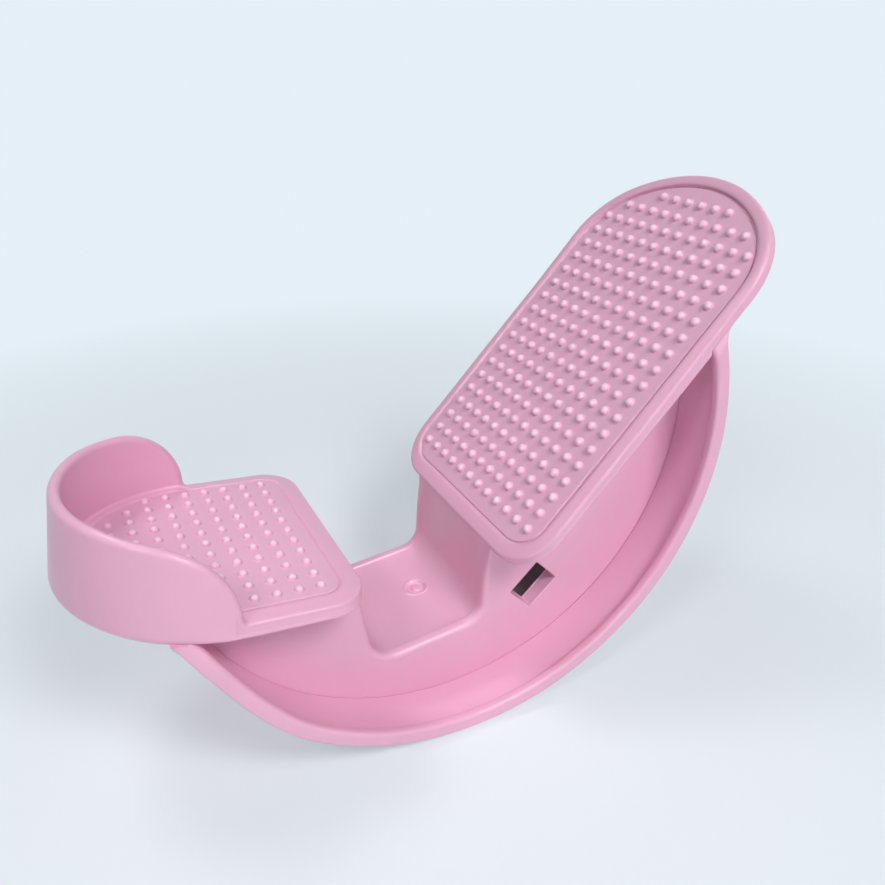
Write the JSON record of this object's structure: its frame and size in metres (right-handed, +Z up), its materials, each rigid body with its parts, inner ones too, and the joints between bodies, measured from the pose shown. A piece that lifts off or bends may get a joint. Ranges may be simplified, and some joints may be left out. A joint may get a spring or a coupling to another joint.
{
  "type": "foot rocker",
  "caption": "Single-foot rocking calf stretcher with a round sole, a cupped heel tray, a raised toe tray and inset mats of round nubs.",
  "frame": {"origin": "on the floor under the centre of the sole's arc, at mid-width, at rest", "axes": "+X towards the toes, +Y to the left of the foot, +Z up"},
  "size_m": [0.2905, 0.116, 0.1989],
  "materials": {
    "shell": "satin",
    "pad": "matte",
    "tread": "matte",
    "screw": "satin"
  },
  "bodies": {
    "root": {"rocker_runner": "shell", "centre_body": "shell", "heel_tray": "shell", "toe_tray": "shell", "heel_nub_mat": "pad", "toe_nub_mat": "pad", "left_tread_strip": "tread", "right_tread_strip": "tread", "runner_screws": "screw", "heel_tray_screws": "screw", "toe_tray_screws": "screw"}
  },
  "joints": []
}
